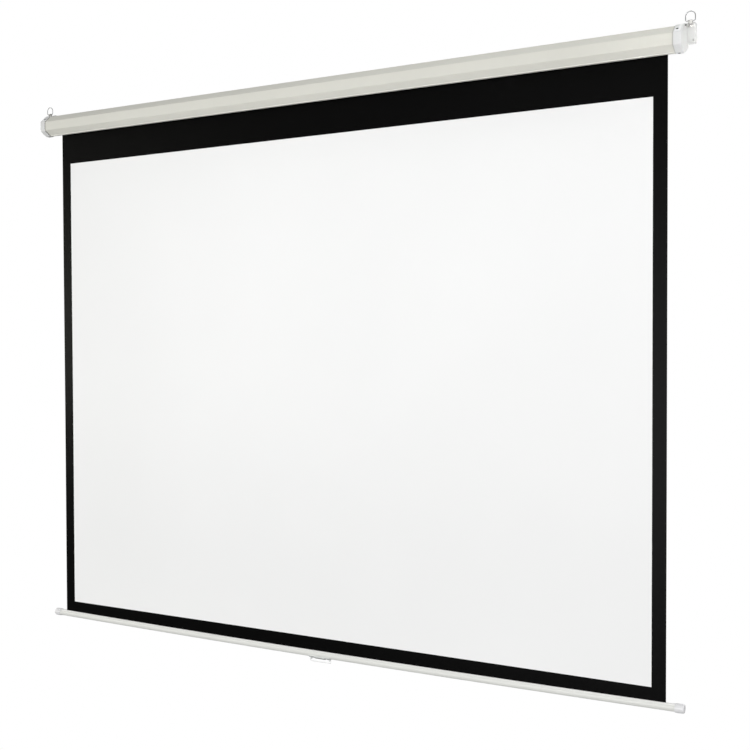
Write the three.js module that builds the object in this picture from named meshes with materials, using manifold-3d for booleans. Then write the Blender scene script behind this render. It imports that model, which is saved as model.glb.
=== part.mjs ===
// Motorised projection screen, 100 inch diagonal, 4:3 picture, shown fully lowered.
// Units are millimetres. +X runs to the viewer's right along the casing, the wall is the
// plane Y = 0 with the screen on its -Y side, and +Z is up. Z = 0 is the roller's axis height
// and X = 0 is the middle of the screen.
import * as THREE from "three";
import { mergeVertices } from "three/addons/utils/BufferGeometryUtils.js";
import Module from "manifold-3d";

const wasm = await Module();
wasm.setup();

// ---------------------------------------------------------------- driving dimensions
const VIEW_W = 2032;            // white picture area, 100 inch diagonal at 4:3
const VIEW_H = 1524;
const SIDE_BORDER = 38;         // black masking borders
const TOP_DROP = 129.5;         // roller axis to the top of the picture area
const BOTTOM_BORDER = 40;
const FABRIC_W = VIEW_W + 2 * SIDE_BORDER;
const FABRIC_Y = -20;           // plane that the fabric hangs in
const FABRIC_T = 0.4;
const VIEW_BOTTOM = -(TOP_DROP + VIEW_H);         // -1653.5
const BORDER_BOTTOM = VIEW_BOTTOM - BOTTOM_BORDER; // -1693.5

const GAP = 0.3;                // clearance between pieces that touch

const ROLLER_Y = -40.8;         // roller axis
const ROLLER_Z = 0;
const TUBE_R = 19.5;            // 39 mm aluminium roller tube
const TUBE_RI = 18.5;
const ROLLER_HALF = 1071;       // half length of the tube
const WRAP_RI = TUBE_R + GAP;   // turns of fabric that stay on the roller
const WRAP_R = 20.3;

const CASE_HALF = 1098.2;       // half length of the steel casing
const CASE_T = 0.9;             // wall of the casing
const CAP_IN = 1081;            // end cap, inboard edge of its rim
const CAP_WALL = 1098.5;        // inner face of its closed end
const CAP_OUT = 1101.5;         // outer face of its closed end
const CAP_PROUD = 2.3;          // how far the rim stands over the casing
const CAP_BELOW = 1.3;          // and how far under its flat bottom

const EAR_IN = 1087;            // wall ear moulded on the end cap
const EAR_OUT = 1122;
const EAR_FRONT = -18;
const EAR_BOTTOM = -5;
const EAR_TOP = 46;

const RING_X = 1110.5;          // hanging ring and its strap
const RING_Y = -20.6;
const RING_Z = 49.5;
const RING_WIRE = 1.1;
const RING_HALF = 12.3;
const RING_RISE = 23.9;
const CLASP_T = 0.9;
const CLASP_HALF = 6;
const CLASP_SCREW_Z = 38.8;

const BAR_Z = -1703.75;         // bottom weight bar
const BAR_R = 10.25;
const BAR_T = 1.0;
const BAR_HALF = 1084.6;
const BAR_CAP_R = 12.1;
const BAR_CAP_IN = 1078;
const BAR_CAP_OUT = 1102.3;
const BAR_BOW = 6.4;            // the ends of the bar hang this much higher than its middle

const HANDLE_HALF = 38;         // pull handle in the middle of the bar
const BAIL_Z = -1718.6;
const BAIL_WIRE = 1.0;
const BAIL_HALF = 36.3;
const BAIL_DROP = 8.8;

const MOTOR_R = 17.5;           // 35 mm tubular motor
const SCREW_SEGS = 16;

// section of the casing in the YZ plane, without its lips and slot
const SECTION = [
  [-50.3, -32.8], [-74, -17.8], [-74, 11.8], [-50.3, 34],
  [-26, 34], [-4, 15], [-4, -12.2], [-37, -32.8],
];

// ---------------------------------------------------------------- materials
const mat = (color, roughness, metalness) =>
  new THREE.MeshStandardMaterial({ color, roughness, metalness });
const M = {
  casing: mat(0xdcdad0, 0.45, 0.1),
  plastic: mat(0xe6e8ec, 0.4, 0.0),
  white: mat(0xf4f4f4, 0.9, 0.0),
  black: mat(0x121212, 0.9, 0.0),
  chrome: mat(0xc8c8c8, 0.15, 1.0),
  steel: mat(0x9a9c9e, 0.4, 0.9),
  blackScrew: mat(0x1a1a1a, 0.4, 0.6),
  alu: mat(0xbfc2c4, 0.35, 0.9),
  motor: mat(0x6c7074, 0.4, 0.8),
  darkPlastic: mat(0x26282a, 0.5, 0.0),
  greyPlastic: mat(0x8c9094, 0.5, 0.0),
  nylon: mat(0xe9e6da, 0.5, 0.0),
  yellow: mat(0xd8b23a, 0.5, 0.0),
  bar: mat(0xe4e4dc, 0.4, 0.1),
};

// ---------------------------------------------------------------- solid helpers
function solid(geometry) {
  const g0 = geometry.index ? geometry.toNonIndexed() : geometry.clone();
  g0.deleteAttribute("normal");
  g0.deleteAttribute("uv");
  const g = mergeVertices(g0, 1e-4);
  const idx = g.index.array;
  const tri = [];
  for (let i = 0; i < idx.length; i += 3) {
    const [a, b, c] = [idx[i], idx[i + 1], idx[i + 2]];
    if (a !== b && b !== c && a !== c) tri.push(a, b, c);
  }
  const build = (t) => new wasm.Manifold(new wasm.Mesh({
    numProp: 3,
    vertProperties: new Float32Array(g.attributes.position.array),
    triVerts: new Uint32Array(t),
  }));
  let m = build(tri);
  if (m.volume() < 0) {
    const flipped = [];
    for (let i = 0; i < tri.length; i += 3) flipped.push(tri[i], tri[i + 2], tri[i + 1]);
    m = build(flipped);
  }
  return m;
}

const shapeOf = (pts) => new THREE.Shape(pts.map(([a, b]) => new THREE.Vector2(a, b)));
const plainExtrude = (shape, depth) =>
  new THREE.ExtrudeGeometry(shape, { depth, bevelEnabled: false, steps: 1, curveSegments: 12 });

// a YZ outline carried along X from x0 to x1
function prismX(pts, x0, x1) {
  const g = plainExtrude(shapeOf(pts), x1 - x0);
  g.applyMatrix4(new THREE.Matrix4().set(
    0, 0, 1, x0,
    1, 0, 0, 0,
    0, 1, 0, 0,
    0, 0, 0, 1));
  return solid(g);
}

function box(x0, x1, y0, y1, z0, z1) {
  const g = new THREE.BoxGeometry(x1 - x0, y1 - y0, z1 - z0);
  g.translate((x0 + x1) / 2, (y0 + y1) / 2, (z0 + z1) / 2);
  return solid(g);
}

// a solid turned about an axis through p along dir; profile is [radius, distance along]
function turned(profile, p, dir, segs, bent = false) {
  const g = new THREE.LatheGeometry(profile.map(([r, h]) => new THREE.Vector2(r, h)), segs);
  const q = new THREE.Quaternion().setFromUnitVectors(
    new THREE.Vector3(0, 1, 0), new THREE.Vector3(...dir).normalize());
  g.applyQuaternion(q);
  g.translate(...p);
  return solid(bent ? follow(g) : g);
}
// raises every point under a height by the bow of the bottom bar at that place
function follow(g, under = 0) {
  const p = g.attributes.position;
  for (let i = 0; i < p.count; i++) {
    if (p.getZ(i) < under) p.setZ(i, p.getZ(i) + BAR_BOW * (p.getX(i) / BAR_CAP_OUT) ** 2);
  }
  return g;
}
const stations = (h0, h1, n) => Array.from({ length: n + 1 }, (_, i) => h0 + (h1 - h0) * (i / n));
function bentBox(x0, x1, y0, y1, z0, z1, n, under = 0) {
  const g = new THREE.BoxGeometry(x1 - x0, y1 - y0, z1 - z0, n, 1, 1);
  g.translate((x0 + x1) / 2, (y0 + y1) / 2, (z0 + z1) / 2);
  return solid(follow(g, under));
}
const rod = (r, h0, h1, p, dir, segs = 24) =>
  turned([[0, h0], [r, h0], [r, h1], [0, h1]], p, dir, segs);
const ring = (ri, ro, h0, h1, p, dir, segs = 32) =>
  turned([[ri, h0], [ro, h0], [ro, h1], [ri, h1], [ri, h0]], p, dir, segs);

// an outline moved outwards by d, or inwards when d is negative
function offset(pts, d) {
  const n = pts.length;
  let area = 0;
  for (let i = 0; i < n; i++) {
    const [x0, y0] = pts[i], [x1, y1] = pts[(i + 1) % n];
    area += x0 * y1 - x1 * y0;
  }
  const s = area > 0 ? 1 : -1;
  const lines = pts.map(([x0, y0], i) => {
    const [x1, y1] = pts[(i + 1) % n];
    const l = Math.hypot(x1 - x0, y1 - y0);
    const nx = s * (y1 - y0) / l, ny = -s * (x1 - x0) / l;
    return { nx, ny, c: nx * x0 + ny * y0 + d };
  });
  return pts.map((_, i) => {
    const a = lines[(i + n - 1) % n], b = lines[i];
    const det = a.nx * b.ny - b.nx * a.ny;
    return [(a.c * b.ny - b.c * a.ny) / det, (a.nx * b.c - b.nx * a.c) / det];
  });
}

// a round wire along a curve
function wire(curve, r, steps, sides) {
  const circle = [];
  for (let i = 0; i < sides; i++) {
    const a = (i / sides) * Math.PI * 2;
    circle.push([r * Math.cos(a), r * Math.sin(a)]);
  }
  const g = new THREE.ExtrudeGeometry(shapeOf(circle), {
    steps, bevelEnabled: false, extrudePath: curve,
  });
  return solid(g);
}

// points along a polyline whose corners are rounded with radius r, in a plane
function roundedPath(pts, r, cornerSteps) {
  const out = [pts[0].clone()];
  for (let i = 1; i < pts.length - 1; i++) {
    const p = pts[i];
    const a = pts[i - 1].clone().sub(p), b = pts[i + 1].clone().sub(p);
    const la = a.length(), lb = b.length();
    a.normalize(); b.normalize();
    const half = Math.acos(THREE.MathUtils.clamp(a.dot(b), -1, 1)) / 2;
    const cut = Math.min(r / Math.tan(half), la * 0.49, lb * 0.49);
    const p0 = p.clone().addScaledVector(a, cut), p1 = p.clone().addScaledVector(b, cut);
    const curve = new THREE.QuadraticBezierCurve3(p0, p, p1);
    for (let k = 0; k <= cornerSteps; k++) out.push(curve.getPoint(k / cornerSteps));
  }
  out.push(pts[pts.length - 1].clone());
  return out;
}
class PolyCurve extends THREE.Curve {
  constructor(pts) { super(); this.pts = pts; }
  getPoint(t, target = new THREE.Vector3()) {
    const n = this.pts.length - 1;
    const f = Math.min(Math.max(t, 0), 1) * n;
    const i = Math.min(Math.floor(f), n - 1);
    return target.copy(this.pts[i]).lerp(this.pts[i + 1], f - i);
  }
  getPointAt(t, target) { return this.getPoint(t, target); }
  getTangentAt(t, target = new THREE.Vector3()) {
    const n = this.pts.length - 1;
    const i = Math.round(Math.min(Math.max(t, 0), 1) * n);
    const dir = (k) => this.pts[k + 1].clone().sub(this.pts[k]).normalize();
    target.set(0, 0, 0);
    if (i > 0) target.add(dir(i - 1));
    if (i < n) target.add(dir(i));
    return target.normalize();
  }
}

const group = new THREE.Group();
group.name = "projection_screen";
function add(name, manifold, material) {
  const m = manifold.getMesh();
  const g = new THREE.BufferGeometry();
  g.setAttribute("position", new THREE.BufferAttribute(new Float32Array(m.vertProperties), 3));
  g.setIndex(new THREE.BufferAttribute(new Uint32Array(m.triVerts), 1));
  g.computeVertexNormals();
  const mesh = new THREE.Mesh(g, material);
  mesh.name = name;
  group.add(mesh);
}
const AXIS = [0, ROLLER_Y, ROLLER_Z];
const XDIR = [1, 0, 0];
const SIDES = [["left", -1], ["right", 1]];

// ---------------------------------------------------------------- casing shell
// front upper chamfer: where the visible cap screw sits
const CH_A = [-74, 11.8], CH_B = [-50.3, 34];
const chLen = Math.hypot(CH_B[0] - CH_A[0], CH_B[1] - CH_A[1]);
const chDir = [(CH_B[0] - CH_A[0]) / chLen, (CH_B[1] - CH_A[1]) / chLen];
const chOut = [-chDir[1], chDir[0]];
const CAP_SCREW_X = 1089;
const CAP_SCREW_ALONG = 12.4;
const capScrewAt = [
  CH_A[0] + CAP_PROUD * chOut[0] + CAP_SCREW_ALONG * chDir[0],
  CH_A[1] + CAP_PROUD * chOut[1] + CAP_SCREW_ALONG * chDir[1],
];
const BOTTOM_SCREW_Y = -43.6;
const CASE_BOTTOM = -32.8;
const BOTTOM_FACE = CASE_BOTTOM - CAP_BELOW;

// steel sheet bent round the roller, with a long slot underneath and a folded lip on each edge
const CASE_OUTLINE = [
  [-50, -32.8], [-50, -31.2], [-74, -17.4], [-74, 11.8], [-50.3, 34],
  [-26, 34], [-4, 15], [-4, -12.2], [-37, -32.8],
];
const SLOT = [[-37.6, -45], [-11.5, -45], [-11.5, -12], [-37.6, -26]];
{
  // outer sheet minus the room inside it, minus the slot
  const inner = offset([
    [-50, -32.8], [-50, -31.4], [-74, -17.6], [-74, 11.8], [-50.3, 34],
    [-26, 34], [-4, 15], [-4, -12.2], [-37, -32.8],
  ], -CASE_T);
  let shell = prismX(CASE_OUTLINE, -CASE_HALF, CASE_HALF)
    .subtract(prismX(inner, -CASE_HALF - 1, CASE_HALF + 1))
    .subtract(prismX(SLOT, -CASE_HALF - 1, CASE_HALF + 1));
  // front lip folded up, rear lip folded in
  shell = shell.add(prismX([
    [-38.6, -32.5], [-37.6, -32.5], [-37.6, -27.8], [-38.6, -27.8],
  ], -CASE_HALF, CASE_HALF));
  shell = shell.add(prismX([
    [-11.5, -16.6], [-10.7, -16.1], [-12.7, -12.9], [-13.5, -13.4],
  ], -CASE_HALF, CASE_HALF));
  for (const [, s] of SIDES) {
    shell = shell.subtract(rod(2.1, -9, 3,
      [s * CAP_SCREW_X, capScrewAt[0], capScrewAt[1]], [0, chOut[0], chOut[1]], SCREW_SEGS));
    shell = shell.subtract(rod(2.1, -9, 3,
      [s * CAP_SCREW_X, BOTTOM_SCREW_Y, BOTTOM_FACE], [0, 0, -1], SCREW_SEGS));
  }
  add("casing_shell", shell, M.casing);
}

// ---------------------------------------------------------------- end caps with wall ears
const LIMIT_SCREWS = [["up", -8, 8], ["down", 8, 8]];   // from the roller axis, in Y and Z
const GLAND_AT = [ROLLER_Y, -8];
const BRACKET_SCREWS = [["upper", -19, 13], ["lower", -19, -14]];
const EAR_HOLES = [[1097.6, 41.8, 2.4], [1116.6, 1.4, 1.6]];
for (const [side, s] of SIDES) {
  const span = (a, b) => (s > 0 ? [a, b] : [-b, -a]);
  const [c0, c1] = span(CAP_IN, CAP_OUT);
  let cap = prismX(offset(SECTION, CAP_PROUD).map(([y, z]) => [y, Math.max(z, BOTTOM_FACE)]), c0, c1);
  const [e0, e1] = span(EAR_IN, EAR_OUT);
  cap = cap.add(box(e0, e1, EAR_FRONT, 0, EAR_BOTTOM, EAR_TOP));
  // raised ring round the front screw
  const nrm = [0, chOut[0], chOut[1]];
  const at = [s * CAP_SCREW_X, capScrewAt[0], capScrewAt[1]];
  cap = cap.add(rod(5.4, -1, 0.5, at, nrm, 24));
  // room for the casing's end
  const [i0, i1] = span(CAP_IN - 5, CAP_WALL);
  cap = cap.subtract(prismX(offset(SECTION, 0.35), i0, i1));
  // countersink and holes for the cap screws
  cap = cap.subtract(rod(3.7, -1.3, 3, at, nrm, 24));
  cap = cap.subtract(rod(2.1, -6, 3, at, nrm, SCREW_SEGS));
  const below = [s * CAP_SCREW_X, BOTTOM_SCREW_Y, BOTTOM_FACE];
  cap = cap.subtract(rod(3.7, -1.3, 3, below, [0, 0, -1], 24));
  cap = cap.subtract(rod(2.1, -6, 3, below, [0, 0, -1], SCREW_SEGS));
  // ear cored out from the wall side, leaving ribs and screw bosses
  const bosses = rod(5.2, 0, 30, [s * RING_X, EAR_FRONT, CLASP_SCREW_Z], [0, 1, 0], 20)
    .add(rod(4.6, 0, 30, [s * EAR_HOLES[1][0], EAR_FRONT, EAR_HOLES[1][1]], [0, 1, 0], 16));
  const core = (x0, x1, z0, z1) => {
    const [a, b] = span(x0, x1);
    return box(a, b, EAR_FRONT + 3, 5, z0, z1);
  };
  let cores = core(1103.8, 1119.6, -2.6, 17.4).add(core(1103.8, 1119.6, 21.4, 43.6));
  cap = cap.subtract(cores.subtract(bosses));
  cap = cap.subtract(rod(1.9, -1, 13.5, [s * RING_X, EAR_FRONT, CLASP_SCREW_Z], [0, 1, 0], SCREW_SEGS));
  for (const [hx, hz, hr] of EAR_HOLES) {
    cap = cap.subtract(rod(hr, -5, 30, [s * hx, EAR_FRONT, hz], [0, 1, 0], SCREW_SEGS));
    cap = cap.subtract(rod(hr + 0.9, -5, 1.2, [s * hx, EAR_FRONT, hz], [0, 1, 0], SCREW_SEGS));
  }
  // blind holes for the bracket's screws
  for (const [, dy, dz] of BRACKET_SCREWS) {
    cap = cap.subtract(rod(1.9, CAP_WALL - 2, CAP_OUT - 0.8,
      [0, ROLLER_Y + dy, dz], [s, 0, 0], 12));
  }
  if (s < 0) {
    // motor side: limit screws and the mains inlet reach through the end
    for (const [, dy, dz] of LIMIT_SCREWS) {
      cap = cap.subtract(rod(4.0, CAP_WALL - 2, CAP_OUT + 2, [0, ROLLER_Y + dy, dz], [s, 0, 0], 20));
    }
    cap = cap.subtract(rod(6.3, CAP_WALL - 2, CAP_OUT + 2, [0, ...GLAND_AT], [s, 0, 0], 24));
  }
  add(`end_cap_${side}`, cap, M.plastic);

  // countersunk screws that hold the cap on the casing
  const screw = [[0, -8], [1.7, -8], [1.7, -1.0], [3.4, -0.6], [3.4, 0.1], [2.4, 0.45], [0, 0.55]];
  const slotCut = (p, dir) => rod(1.5, -0.5, 1, p, dir, 6);
  add(`cap_screw_front_${side}`, turned(screw, at, nrm, SCREW_SEGS).subtract(slotCut(at, nrm)), M.blackScrew);
  add(`cap_screw_bottom_${side}`,
    turned(screw, below, [0, 0, -1], SCREW_SEGS).subtract(slotCut(below, [0, 0, -1])), M.blackScrew);

  // strap folded over the ring's straight side, held by one pan head screw
  const ri = 1.4, ro = ri + CLASP_T;
  const loopPts = (r, a0, a1, n) => {
    const o = [];
    for (let i = 0; i <= n; i++) {
      const a = a0 + (a1 - a0) * (i / n);
      o.push([RING_Y + r * Math.cos(a), RING_Z + r * Math.sin(a)]);
    }
    return o;
  };
  const back = RING_Y + ro;                 // rear leg's outer face
  const backIn = RING_Y + ri;
  // outline: up the rear leg, over the loop, down the front leg, and back along its inside
  const outline = [
    [back, 34.8], ...loopPts(ro, 0, Math.PI * 1.14, 10),
    [backIn - CLASP_T - 0.25, 44.4], [backIn - CLASP_T - 0.25, 35.2],
    [backIn - 0.25, 35.2], [backIn - 0.25, 44.9],
    ...loopPts(ri, Math.PI * 1.14, 0, 8),
    [backIn, 34.8],
  ];
  const [k0, k1] = span(RING_X - CLASP_HALF, RING_X + CLASP_HALF);
  let clasp = prismX(outline, k0, k1);
  clasp = clasp.subtract(rod(1.95, -20, 20, [s * RING_X, EAR_FRONT, CLASP_SCREW_Z], [0, -1, 0], SCREW_SEGS));
  add(`ring_clasp_${side}`, clasp, M.chrome);
  const headBase = EAR_FRONT - (backIn - CLASP_T - 0.25) + GAP;   // distance out to the strap's front
  add(`clasp_screw_${side}`, turned([
    [0, -12.5], [1.6, -12.5], [1.6, headBase], [3.9, headBase], [3.9, headBase + 1.3],
    [3.1, headBase + 2.1], [1.6, headBase + 2.4], [0, headBase + 2.4],
  ], [s * RING_X, EAR_FRONT, CLASP_SCREW_Z], [0, -1, 0], SCREW_SEGS)
    .subtract(box(s * RING_X - 2.4, s * RING_X + 2.4, EAR_FRONT - headBase - 3, EAR_FRONT - headBase - 1.4,
      CLASP_SCREW_Z - 0.45, CLASP_SCREW_Z + 0.45))
    .subtract(box(s * RING_X - 0.45, s * RING_X + 0.45, EAR_FRONT - headBase - 3, EAR_FRONT - headBase - 1.4,
      CLASP_SCREW_Z - 2.4, CLASP_SCREW_Z + 2.4)), M.chrome);

  // D shaped hanging ring, its butt joint hidden in the strap
  const pts = [new THREE.Vector3(s * RING_X + 0.2, RING_Y, RING_Z)];
  const cr = 3.2;
  for (let i = 0; i <= 4; i++) {
    const a = -Math.PI / 2 + (i / 4) * (Math.PI / 2);
    pts.push(new THREE.Vector3(s * RING_X + RING_HALF - cr + cr * Math.cos(a), RING_Y,
      RING_Z + cr + cr * Math.sin(a)));
  }
  const cz = RING_Z + RING_RISE - RING_HALF;
  for (let i = 0; i <= 16; i++) {
    const a = (i / 16) * Math.PI;
    pts.push(new THREE.Vector3(s * RING_X + RING_HALF * Math.cos(a), RING_Y,
      cz + RING_HALF * Math.sin(a)));
  }
  for (let i = 0; i <= 4; i++) {
    const a = Math.PI + (i / 4) * (Math.PI / 2);
    pts.push(new THREE.Vector3(s * RING_X - RING_HALF + cr + cr * Math.cos(a), RING_Y,
      RING_Z + cr + cr * Math.sin(a)));
  }
  pts.push(new THREE.Vector3(s * RING_X - 0.2, RING_Y, RING_Z));
  add(`hanging_ring_${side}`, wire(new PolyCurve(pts), RING_WIRE, pts.length - 1, 8), M.chrome);
}

// ---------------------------------------------------------------- brackets inside the caps
const plateOutline = offset(SECTION, -6).map(([y, z]) => [y, Math.max(z, -24.5)]);
for (const [side, s] of SIDES) {
  const [p0, p1] = s > 0 ? [1096.2, 1098.2] : [-1098.2, -1096.2];
  let plate = prismX(plateOutline, p0, p1);
  for (const [, dy, dz] of BRACKET_SCREWS) {
    plate = plate.subtract(rod(1.9, 1090, 1105, [0, ROLLER_Y + dy, dz], [s, 0, 0], 12));
  }
  if (s < 0) {
    for (const [, dy, dz] of LIMIT_SCREWS) {
      plate = plate.subtract(rod(4.0, 1090, 1105, [0, ROLLER_Y + dy, dz], [s, 0, 0], 20));
    }
    plate = plate.subtract(rod(6.3, 1090, 1105, [0, ...GLAND_AT], [s, 0, 0], 24));
    add("motor_bracket", plate, M.steel);
  } else {
    add("idler_bracket", plate, M.steel);
  }
  for (const [place, dy, dz] of BRACKET_SCREWS) {
    add(`bracket_screw_${place}_${side}`, turned([
      [0, 1093.6], [2.6, 1093.6], [3.2, 1094.4], [3.2, 1095.9], [1.6, 1095.9], [1.6, 1100.4], [0, 1100.4],
    ], [0, ROLLER_Y + dy, dz], [s, 0, 0], 12), M.steel);
  }
}

// ---------------------------------------------------------------- tubular motor, left end
{
  let head = turned([
    [0, 1052.3], [15, 1052.3], [15, 1072.5], [19, 1072.5], [19, 1094.9], [18, 1095.9], [0, 1095.9],
  ], AXIS, [-1, 0, 0], 32);
  for (const [, dy, dz] of LIMIT_SCREWS) {
    head = head.subtract(rod(3.1, 1084, 1100, [0, ROLLER_Y + dy, dz], [-1, 0, 0], 16));
  }
  add("motor_head", head, M.darkPlastic);
  for (const [name, dy, dz] of LIMIT_SCREWS) {
    let screw = turned([
      [0, 1084.4], [2.8, 1084.4], [2.8, 1100.2], [2.3, 1100.7], [0, 1100.7],
    ], [0, ROLLER_Y + dy, dz], [-1, 0, 0], 16);
    screw = screw.subtract(rod(1.6, 1098, 1102, [0, ROLLER_Y + dy, dz], [-1, 0, 0], 6));
    add(`limit_screw_${name}`, screw, M.yellow);
  }
  add("limit_crown", ring(15.4, 18.1, 1058, 1071.6, AXIS, [-1, 0, 0], 32), M.greyPlastic);
  add("motor_tube", rod(MOTOR_R, 742, 1052, AXIS, [-1, 0, 0], 32), M.motor);
  add("gearbox_housing", rod(MOTOR_R, 662, 741.7, AXIS, [-1, 0, 0], 32), M.steel);
  add("output_shaft", turned([
    [0, 636], [5, 636], [5, 661.7], [0, 661.7],
  ], AXIS, [-1, 0, 0], 16), M.steel);
  add("drive_wheel", ring(5.3, 18.1, 640, 655, AXIS, [-1, 0, 0], 32), M.greyPlastic);
  // strain relief where the mains lead leaves the casing
  add("power_gland", turned([
    [2.8, 1096.3], [6, 1096.3], [6, 1101.8], [8.6, 1101.8], [8.6, 1104.2], [5.4, 1105.2],
    [4.6, 1113.5], [2.8, 1113.5], [2.8, 1096.3],
  ], [0, ...GLAND_AT], [-1, 0, 0], 24), M.darkPlastic);
}

// ---------------------------------------------------------------- roller and its idler end
add("roller_tube", ring(TUBE_RI, TUBE_R, -ROLLER_HALF, 1070, AXIS, XDIR, 36), M.alu);
add("fabric_wraps", ring(WRAP_RI, WRAP_R, -FABRIC_W / 2, FABRIC_W / 2, AXIS, XDIR, 36), M.black);
add("idler_plug", turned([
  [8.3, 1040], [18.1, 1040], [18.1, 1070.3], [19.3, 1070.3], [19.3, 1073], [8.3, 1073], [8.3, 1040],
], AXIS, XDIR, 32), M.greyPlastic);
add("idler_bearing", ring(5.3, 8.0, 1046, 1072.6, AXIS, XDIR, 24), M.nylon);
add("idler_pin", turned([
  [0, 1042], [4.4, 1042], [5, 1042.8], [5, 1091.5], [9, 1091.5], [9, 1095.9], [0, 1095.9],
], AXIS, XDIR, 24), M.steel);

// ---------------------------------------------------------------- fabric
// the hanging sheet, from the roller down to the lower edge of the picture area
add("screen_fabric", box(-FABRIC_W / 2, FABRIC_W / 2,
  FABRIC_Y - FABRIC_T / 2, FABRIC_Y + FABRIC_T / 2, VIEW_BOTTOM + 0.15, 0), M.white);
// the black strip below it, which ends inside the bar
add("fabric_lower_border", bentBox(-FABRIC_W / 2, FABRIC_W / 2,
  FABRIC_Y - FABRIC_T / 2, FABRIC_Y + FABRIC_T / 2, BORDER_BOTTOM - 3.4, VIEW_BOTTOM - 0.15,
  16, BORDER_BOTTOM), M.black);

// ---------------------------------------------------------------- bottom bar
const BAR_AT = [0, FABRIC_Y, BAR_Z];
{
  const along = stations(-BAR_HALF, BAR_HALF, 16);
  const wall = [...along.map((h) => [BAR_R, h]), ...along.map((h) => [BAR_R - BAR_T, h]).reverse()];
  let tube = turned([...wall, wall[0]], BAR_AT, XDIR, 32, true);
  tube = tube.subtract(bentBox(-BAR_HALF - 1, BAR_HALF + 1, FABRIC_Y - 1.3, FABRIC_Y + 1.3,
    BAR_Z + 4, BAR_Z + 14, 16));
  for (const s of [-1, 1]) {
    tube = tube.subtract(rod(1.6, 5, 14, [s * 26, FABRIC_Y, BAR_Z], [0, 0, -1], 12));
  }
  add("bar_tube", tube, M.bar);
  add("hem_rod", turned([[0, -1060], ...stations(-1060, 1060, 16).map((h) => [3, h]), [0, 1060]],
    [0, FABRIC_Y, BORDER_BOTTOM - 7.2], XDIR, 16, true), M.steel);
}
for (const [side, s] of SIDES) {
  add(`bar_cap_${side}`, turned([
    [0, 1084.9], [10.55, 1084.9], [10.55, BAR_CAP_IN], [11.6, BAR_CAP_IN], [BAR_CAP_R, BAR_CAP_IN + 0.6],
    [BAR_CAP_R, 1098.9], [11.75, 1100.4], [10.7, 1101.5], [8.9, 1102.1], [0, BAR_CAP_OUT],
  ], BAR_AT, [s, 0, 0], 32, true), M.plastic);
}

// ---------------------------------------------------------------- pull handle
{
  const arc = (ri, ro, a0, a1, n) => {
    const o = [];
    for (let i = 0; i <= n; i++) {
      const a = (a0 + (a1 - a0) * (i / n)) * Math.PI / 180;
      o.push([FABRIC_Y + ro * Math.cos(a), BAR_Z + ro * Math.sin(a)]);
    }
    for (let i = n; i >= 0; i--) {
      const a = (a0 + (a1 - a0) * (i / n)) * Math.PI / 180;
      o.push([FABRIC_Y + ri * Math.cos(a), BAR_Z + ri * Math.sin(a)]);
    }
    return o;
  };
  const saddleIn = BAR_R + GAP;
  let clip = prismX(arc(saddleIn, saddleIn + 1.7, 205, 335, 12), -HANDLE_HALF, HANDLE_HALF);
  clip = clip.add(prismX(arc(saddleIn, saddleIn + 4.2, 228, 312, 10), -19, 19));
  for (const s of [-1, 1]) {
    const [a, b] = s > 0 ? [30.8, 34.8] : [-34.8, -30.8];
    clip = clip.add(box(a, b, FABRIC_Y - 3.2, FABRIC_Y + 3.2, BAIL_Z - 2.6, BAR_Z - saddleIn - 0.4));
    clip = clip.subtract(rod(1.35, 25, 40, [0, FABRIC_Y, BAIL_Z], [s, 0, 0], 12));
    clip = clip.subtract(rod(1.6, 8, 20, [s * 26, FABRIC_Y, BAR_Z], [0, 0, -1], 12));
  }
  add("handle_clip", clip, M.plastic);
  for (const [side, s] of SIDES) {
    add(`handle_screw_${side}`, turned([
      [0, 6], [1.3, 6], [1.3, saddleIn + 2.0], [2.5, saddleIn + 2.0], [2.5, saddleIn + 2.8],
      [1.6, saddleIn + 3.4], [0, saddleIn + 3.4],
    ], [s * 26, FABRIC_Y, BAR_Z], [0, 0, -1], 12), M.steel);
  }
  const V = (x, z) => new THREE.Vector3(x, FABRIC_Y, z);
  const pts = roundedPath([
    V(-30, BAIL_Z), V(-BAIL_HALF, BAIL_Z), V(-BAIL_HALF, BAIL_Z - BAIL_DROP),
    V(BAIL_HALF, BAIL_Z - BAIL_DROP), V(BAIL_HALF, BAIL_Z), V(30, BAIL_Z),
  ], 2.2, 4);
  add("handle_bail", wire(new PolyCurve(pts), BAIL_WIRE, pts.length - 1, 8), M.plastic);
}

export default group;
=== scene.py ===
import math
import bpy
import bmesh
import numpy as np
from mathutils import Matrix, Vector


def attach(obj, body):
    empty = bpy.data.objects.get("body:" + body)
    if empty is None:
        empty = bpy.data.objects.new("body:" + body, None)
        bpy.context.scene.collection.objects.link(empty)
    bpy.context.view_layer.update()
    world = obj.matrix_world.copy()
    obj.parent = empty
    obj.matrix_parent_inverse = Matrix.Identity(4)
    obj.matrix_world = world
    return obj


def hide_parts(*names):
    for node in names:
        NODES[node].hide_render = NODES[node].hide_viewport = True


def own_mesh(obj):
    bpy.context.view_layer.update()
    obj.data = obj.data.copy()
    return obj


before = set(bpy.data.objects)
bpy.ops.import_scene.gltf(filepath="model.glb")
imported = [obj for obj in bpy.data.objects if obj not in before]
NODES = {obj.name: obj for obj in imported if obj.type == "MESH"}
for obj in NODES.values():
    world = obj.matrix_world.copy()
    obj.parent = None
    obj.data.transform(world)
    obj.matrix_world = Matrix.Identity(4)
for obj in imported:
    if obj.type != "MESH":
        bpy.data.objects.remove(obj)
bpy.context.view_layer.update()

MM = 0.001
scene = bpy.context.scene

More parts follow.
